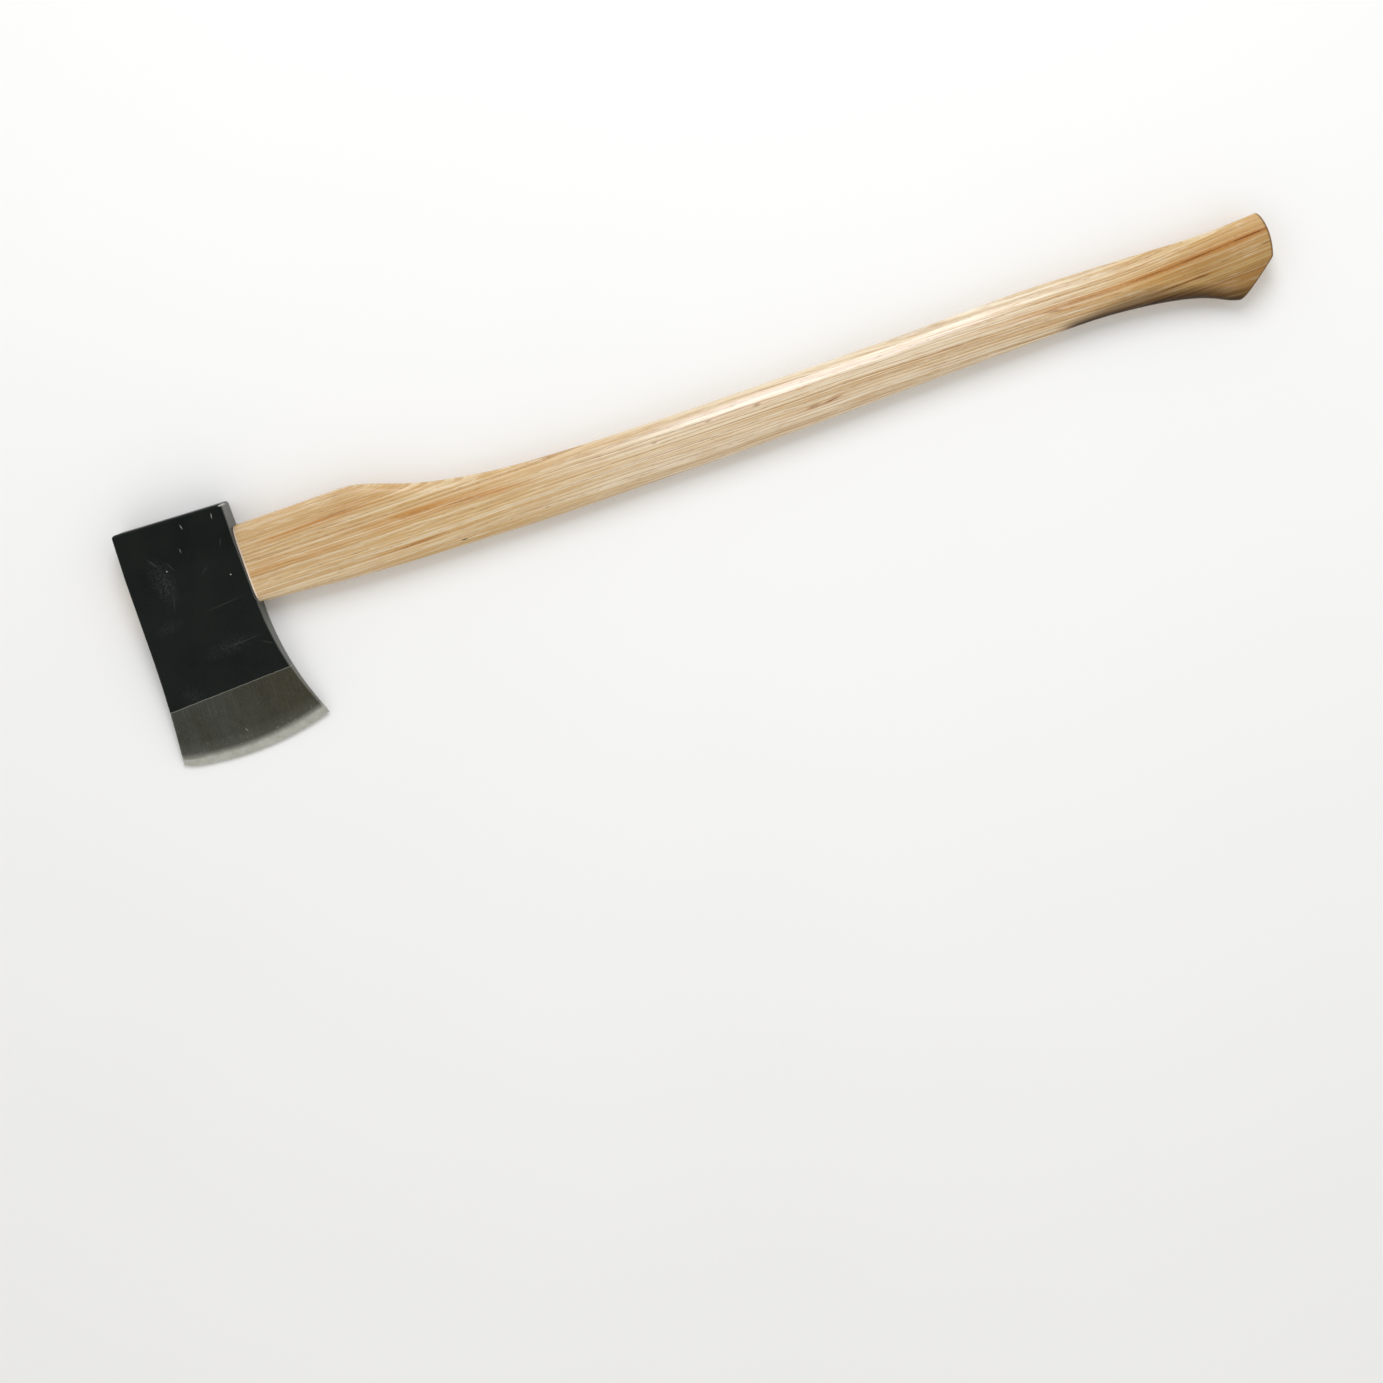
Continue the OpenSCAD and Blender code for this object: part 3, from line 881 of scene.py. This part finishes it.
def paint_colour(s, place, cloud, grit, upper):
    """Black paint: pale grit, paler grey flanks that are scuffed paint and a painted reflection of the
    floor, and smudges, scratches and chips on the upper cheek.
    """
    paint = s.mix(s.span(cloud, 0.35, 0.7), srgb(6, 10, 7), srgb(15, 20, 16))
    paint = s.mix(s.span(grit, 0.50, 0.72, 0.0, 0.5), paint, srgb(24, 38, 32))
    # the flanks turn paler grey: scuffed paint with a painted reflection of the floor
    patch = s.total(s.read("flank"), s.around(s.noise(place, 190, 2), 0.5))
    scuffed_and_sheen = s.mix(cloud, srgb(66, 68, 64), srgb(92, 94, 88))
    paint = s.mix(s.span(patch, 0.45, 0.75, 0.0, 0.85), paint, scuffed_and_sheen)
    haze = s.total(*(s.math("MULTIPLY", s.spot(place, *smudge), share) for *smudge, share in SMUDGES))
    haze = s.math("MULTIPLY", haze, s.span(s.noise(place, 620, 5, 0.8), 0.47, 0.72))
    paint = s.mix(s.math("MULTIPLY", haze, upper), paint, srgb(93, 99, 101))
    for *scratch, share in SCRATCHES:
        amount = s.math("MULTIPLY", s.spot(place, *scratch, 0.8), share)
        paint = s.mix(s.math("MULTIPLY", amount, upper), paint, srgb(142, 148, 141))
    for chip in CHIPS:
        paint = s.mix(s.math("MULTIPLY", s.spot(place, *chip), upper), paint, srgb(205, 206, 198))
    return paint


def steel_tones(s, place, mottle, grind, grit):
    """Ground steel, browner towards the heel, with stains and fine grinding marks."""
    stain = s.noise(s.stretch(place, (26, 8, 8), (0.3, 0, 0)), 1.0, 2)
    towards_heel = s.span(s.parts(place)[0], 0.02, 0.085)
    steel = s.mix(towards_heel, srgb(91, 93, 87), srgb(89, 86, 69))
    steel = s.mix(s.span(stain, 0.55, 0.4), steel, srgb(78, 75, 61))
    steel = s.mix(s.span(mottle, 0.3, 0.8, 0.0, 0.8), steel, srgb(68, 68, 62))
    steel = s.mix(s.span(grind, 0.55, 0.75, 0.0, 0.25), steel, srgb(140, 140, 133))
    return s.mix(s.span(grit, 0.54, 0.72, 0.0, 0.4), steel, srgb(134, 134, 126))


def edge_depth(s, place):
    """How far a point lies in from the cutting edge's arc, in metres."""
    x, y, _ = s.parts(place)
    centre = s.node("CombineXYZ", 0, None, X=EDGE_CENTRE * MM, Y=(BIT_Y + EDGE_RADIUS) * MM)
    flat = s.node("CombineXYZ", 0, None, X=x, Y=y)
    reach = s.node("VectorMath", "Value", {"operation": "DISTANCE"}, i0=flat, i1=centre)
    return s.math("SUBTRACT", EDGE_RADIUS * MM, reach)


def draw_bit(s, steel, place, mottle, speck, above, upper):
    """Brighter steel and glints near the edge, a scraped line below the paint, and the bevel."""
    depth = edge_depth(s, place)
    near = s.span(depth, 0.020, 0.008)
    glint = s.math("MULTIPLY", s.span(speck, 0.60, 0.70), near)
    steel = s.mix(s.math("MULTIPLY", near, 0.3), steel, srgb(140, 140, 132))
    steel = s.mix(s.math("MULTIPLY", glint, 0.45), steel, srgb(200, 201, 193))
    steel = s.mix(s.math("MULTIPLY", s.span(above, -0.0009, -0.0003), 0.6), steel, srgb(160, 161, 152))
    tick = s.math("MULTIPLY", s.spot(place, *TICK, 0.8), upper)
    steel = s.mix(s.math("MULTIPLY", tick, 0.7), steel, srgb(214, 215, 206))
    honed = s.mix(s.span(mottle, 0.35, 0.7), srgb(184, 184, 174), srgb(166, 166, 156))
    return s.mix(s.span(depth, 0.0105, 0.0050), steel, honed)


def head_material():
    """Black paint over the forging, and bare ground steel at the bit with a bright bevel."""
    s = Shader("black_paint_and_ground_steel")
    place = s.read("upright", "Vector")
    upper = s.math("GREATER_THAN", s.parts(place)[2], 0.0)
    cloud = s.noise(place, 28, 4, 0.6)
    speck = s.noise(place, 480, 3, 0.7)
    grit = s.noise(place, 900, 3, 0.8)
    mottle = s.noise(place, 170, 4, 0.65)
    grind = s.noise(s.stretch(place, (2400, 45, 45)), 1.0, 2)
    above = paint_line(s, place)
    ground = s.span(above, 0.00015, -0.00015)

    paint = paint_colour(s, place, cloud, grit, upper)
    steel = draw_bit(s, steel_tones(s, place, mottle, grind, grit), place, mottle, speck, above, upper)
    rough_paint = s.span(cloud, 0.3, 0.7, 0.29, 0.37)
    rough_steel = s.span(mottle, 0.3, 0.7, 0.29, 0.36)
    rough = s.node("Mix", 0, None, i0=ground, i2=rough_paint, i3=rough_steel)
    scored = s.math("MULTIPLY", s.math("MULTIPLY", grind, ground), 0.5)
    height = s.total(s.math("MULTIPLY", speck, 0.45), scored, s.math("MULTIPLY", ground, -0.5))
    s.set(Base_Color=s.mix(ground, paint, steel), Metallic=ground, Roughness=rough,
          Specular_IOR_Level=0.2, Normal=s.bump(height, 0.00015, 0.3))
    return s.material


def wedge_steel_material():
    s = Shader("hammered_wedge_steel")
    place = s.read("upright", "Vector")
    dents = s.noise(place, 420, 2, 0.5)
    rust = s.noise(place, 900, 4, 0.7)
    colour = s.mix(s.span(rust, 0.5, 0.75), srgb(168, 168, 164), srgb(122, 100, 80))
    s.set(Base_Color=colour, Metallic=1.0, Roughness=s.span(rust, 0.3, 0.7, 0.32, 0.55),
          Normal=s.bump(dents, 0.0006, 0.6))
    return s.material


def wedge_wood_material():
    s = Shader("wedge_end_grain")
    place = s.read("upright", "Vector")
    cells = s.noise(place, 2400, 3, 0.6)
    rings = s.noise(s.stretch(place, (8, 900, 300)), 1.0, 2)
    colour = s.mix(s.span(rings, 0.35, 0.65), srgb(150, 108, 66), srgb(190, 150, 102))
    colour = s.mix(s.math("MULTIPLY", s.span(cells, 0.55, 0.7), 0.6), colour, srgb(104, 72, 42))
    s.set(Base_Color=colour, Roughness=0.62, Normal=s.bump(cells, 0.0002, 0.4))
    return s.material


def floor_material():
    s = Shader("pale_floor")
    place = s.node("TexCoord", "Object")
    cloud = s.noise(place, 1.3, 3)
    s.set(Base_Color=s.mix(s.span(cloud, 0.3, 0.7), srgb(244, 243, 240), srgb(247, 246, 243)),
          Roughness=0.8, Specular_IOR_Level=0.1)
    return s.material


# ---------------------------------------------------------------------------------------
# Values that the materials read
# ---------------------------------------------------------------------------------------
def blob(p, x, y, length, width, tilt=0.0):
    """A soft spot in the plane of the blade, in millimetres and degrees."""
    a = math.radians(tilt)
    dx, dy = p[:, 0] - x, p[:, 1] - y
    u = dx * math.cos(a) + dy * math.sin(a)
    v = -dx * math.sin(a) + dy * math.cos(a)
    return np.exp(-(u / length) ** 2 - (v / width) ** 2)


# Orange-brown streaks, laid out as the dark lines are
STREAKS = [
    (148, 15.5, 24, 3.4, 6, 0.9), (182, 18, 26, 3.2, 2, 0.9), (118, 13, 16, 3, 4, 0.6),
    (112, -5.5, 30, 3, 3, 0.9), (162, -5, 26, 3.2, 4, 0.8), (215, -0.5, 26, 3.6, 1, 1.0),
    (252, -0.5, 32, 3.4, -1, 1.15), (290, -1.5, 24, 2.8, -1, 0.9), (215, -22.8, 34, 1.6, 3.4, 0.5),
    (500, 3, 60, 2, 4, 0.35), (539, -10.8, 30, 2, 3, 0.5), (700, 7, 40, 2.5, 2, 0.5),
    (765, 8.2, 38, 2.6, 1.5, 0.8), (815, 10.6, 32, 2.8, 3.5, 0.9), (852, 13.8, 30, 3.2, 5, 1.1),
    (892, 17.5, 26, 3.4, 5.5, 1.2), (840, -2.6, 34, 2.2, 4, 0.8), (784, -8, 30, 3, -1, 0.5),
    (738, 5.5, 24, 2, -5, 0.5), (880, -14, 30, 3, 6, 0.35),
]
LINE_ENDS = (80, 920)
SHOULDER_START = 70
KNOB_START = 840


def grip_stain_and_shade(p, share_up, above_belly):
    """How dark the grip is painted along its belly, over the knob and at the knob's tip: partly hand stain,
    partly painted shade where the belly turns away from the light.
    """
    x = p[:, 0]
    depth = 9 + 12 * smoothstep(745, 825, x) + 4 * smoothstep(850, 900, x)
    low = 1.1 * smoothstep(0, 1, 1 - above_belly / depth) * smoothstep(731, 752, x)
    wide = 0.5 * smoothstep(0, 1, 1.15 - share_up) * smoothstep(785, 870, x)
    corner = 0.9 * blob(p, 876, -28, 9, 4.5)
    return np.clip(np.maximum(low, wide) + corner, 0, 1)


def mark_grip(piece, p):
    """Stains with painted shade on the grip's belly, paleness and gloss, which change along the haft and
    across it.
    """
    x, y, z = p.T
    belly = curve(BELLY_LINE, np.clip(x, *LINE_ENDS))
    above_belly = y - belly
    share_up = above_belly / (curve(BACK_LINE, np.clip(x, *LINE_ENDS)) - belly)
    upper = smoothstep(-9, 2, z)
    # the grip's dark belly: hand stain with painted shade
    store(piece, "stain_and_shade", grip_stain_and_shade(p, share_up, above_belly) * upper)
    # the belly's very edge, painted darker: grime with painted shade
    store(piece, "edge_grime_and_shade", smoothstep(4.5, 0.5, above_belly) * smoothstep(738, 758, x) * upper)
    store(piece, "grip", smoothstep(740, 845, x) * (0.3 + 0.7 * smoothstep(0.8, 0.4, share_up)))
    middle = smoothstep(280, 420, x) * smoothstep(860, 700, x)
    store(piece, "pale", middle * (0.5 + 0.5 * smoothstep(0.1, 0.55, share_up)))
    dull_neck = 0.7 * smoothstep(178, 205, x) * smoothstep(450, 370, x)
    dull_grip = 0.75 * smoothstep(650, 735, x)
    store(piece, "gloss", (1 - dull_neck) * (1 - dull_grip))


def mark_ends(piece, p):
    """The knob's rim and end grain, and a painted highlight along the shoulder's eased edge."""
    x, y, _ = p.T
    from_end = knob_x(np.maximum(y, KNOB_TIP_Y)) - x
    rim = 0.8 * smoothstep(2.3, 0.9, from_end) * smoothstep(0.02, 0.12, from_end)
    store(piece, "rim", rim * (x > KNOB_START))
    store(piece, "end", smoothstep(0.2, 0.04, from_end) * (x > KNOB_START))
    # painted highlight along the shoulder's eased edge
    store(piece, "shoulder_edge_highlight", 0.9 * smoothstep(2.0, 1.1, np.abs(x - shoulder_x(y))) * (x > SHOULDER_START))


def mark_haft(piece):
    p = upright(piece)
    store(piece, "upright", p * MM)
    fibre = p.copy()
    fibre[:, 1] -= curve(FIBRE_LINE, np.clip(p[:, 0], 0, 915))
    store(piece, "fibre", fibre * MM)
    streak = sum(share * blob(p, *spot) for *spot, share in STREAKS)
    store(piece, "streak", np.clip(streak, 0, 1.3) * smoothstep(0, 6, p[:, 2]))
    mark_grip(piece, p)
    mark_ends(piece, p)


def mark_head(piece):
    p = upright(piece)
    x, y, _ = p.T
    store(piece, "upright", p * MM)
    # the underside flank, painted paler grey: scuffed paint and a painted reflection
    flank = smoothstep(1.0, 0.3, underside_x(y) - x)
    store(piece, "flank", flank * (y < POLL_HEIGHT - 0.8))


# ---------------------------------------------------------------------------------------
# Pieces
# ---------------------------------------------------------------------------------------
def finish_piece(piece, node, material):
    piece.data.materials.clear()
    piece.data.materials.append(material)
    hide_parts(node)
    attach(piece, "root")


def build_axe():
    head = make_object("forged_head", *head_mesh())
    cut(head, [eye_tool()])
    mark_head(head)
    finish_piece(head, "axe_head", head_material())

    haft = make_object("ash_haft", *haft_mesh(), smooth_angle=40)
    cut(haft, [kerf_tool(), steel_tool(1), steel_tool(-1)], 40)
    mark_haft(haft)
    finish_piece(haft, "haft", ash_material())

    wood = make_object("kerf_wedge", *wooden_wedge_mesh())
    cut(wood, [steel_tool(1), steel_tool(-1)])
    store(wood, "upright", upright(wood) * MM)
    finish_piece(wood, "wooden_wedge", wedge_wood_material())

    steel = wedge_steel_material()
    for side, node in ((-1, "steel_wedge_front"), (1, "steel_wedge_rear")):
        wedge = make_object(node.replace("steel", "cross"), *steel_wedge_mesh(side))
        store(wedge, "upright", upright(wedge) * MM)
        finish_piece(wedge, node, steel)


# ---------------------------------------------------------------------------------------
# Stage, light and camera
# ---------------------------------------------------------------------------------------
FLOOR_HALF = 9
FLOOR_DROP = 0.0002
# Brightness of the surroundings, from straight down (0) past the horizon (0.5) to straight up (1)
WORLD_STOPS = (
    (0.0, 0.53), (0.12, 0.60), (0.45, 0.62), (0.66, 0.75), (0.80, 0.64), (0.92, 0.27), (1.0, 0.23),
)
WORLD_STRENGTH = 1.35
LAMP_TARGET = (0.29, 0.04, 0)
LAMP_REACH = 2.0
LAMP_LEAN = math.radians(38)
LAMP_SIZE = (0.74, 1.28)
LAMP_POWER = 17.5
LAMP_TINT = (0.95, 0.98, 1.05)
CAMERA_PLACE = (-0.0194, -0.0001, 1.634)
CAMERA_ROLL = math.radians(16.9)
CAMERA_SHIFT = (-0.0011, -0.1464)
SENSOR = 36.0
LENS = 55.0


def add_floor():
    corners = [(x * FLOOR_HALF, y * FLOOR_HALF, 0) for x, y in ((-1, -1), (1, -1), (1, 1), (-1, 1))]
    mesh = bpy.data.meshes.new("floor")
    mesh.from_pydata(corners, [], [(0, 1, 2, 3)])
    mesh.materials.append(floor_material())
    floor = bpy.data.objects.new("floor", mesh)
    floor.location.z = -FLOOR_DROP
    bpy.context.collection.objects.link(floor)


def add_world():
    world = bpy.data.worlds.new("studio")
    world.use_nodes = True
    bpy.context.scene.world = world
    tree = world.node_tree
    coords = tree.nodes.new("ShaderNodeTexCoord")
    parts = tree.nodes.new("ShaderNodeSeparateXYZ")
    ramp = tree.nodes.new("ShaderNodeValToRGB")
    while len(ramp.color_ramp.elements) < len(WORLD_STOPS):
        ramp.color_ramp.elements.new(0.5)
    for element, (place, level) in zip(ramp.color_ramp.elements, WORLD_STOPS):
        element.position = place
        element.color = (level, level, level * 0.99, 1)
    background = tree.nodes["Background"]
    tree.links.new(coords.outputs["Generated"], parts.inputs[0])
    tree.links.new(parts.outputs["Z"], ramp.inputs[0])
    tree.links.new(ramp.outputs[0], background.inputs[0])
    background.inputs[1].default_value = WORLD_STRENGTH


def add_lamp():
    """One soft box beyond the back of the axe, which also draws the highlight along the haft."""
    data = bpy.data.lights.new("soft_box", "AREA")
    data.shape = "RECTANGLE"
    data.size, data.size_y = LAMP_SIZE
    data.energy = LAMP_POWER
    data.color = LAMP_TINT
    away = Vector((0, math.sin(LAMP_LEAN), math.cos(LAMP_LEAN)))
    lamp = bpy.data.objects.new("soft_box", data)
    lamp.location = Vector(LAMP_TARGET) + LAMP_REACH * away
    lamp.rotation_euler = (-away).to_track_quat("-Z", "Y").to_euler()
    bpy.context.collection.objects.link(lamp)


def add_camera():
    data = bpy.data.cameras.new("camera")
    data.sensor_width = SENSOR
    data.lens = LENS
    data.shift_x, data.shift_y = CAMERA_SHIFT
    camera = bpy.data.objects.new("camera", data)
    camera.location = CAMERA_PLACE
    camera.rotation_euler = (0, 0, -CAMERA_ROLL)
    bpy.context.collection.objects.link(camera)
    bpy.context.scene.camera = camera


def main():
    view = bpy.context.scene.view_settings
    view.view_transform = "Standard"
    view.look = "None"
    build_axe()
    add_floor()
    add_world()
    add_lamp()
    add_camera()


main()
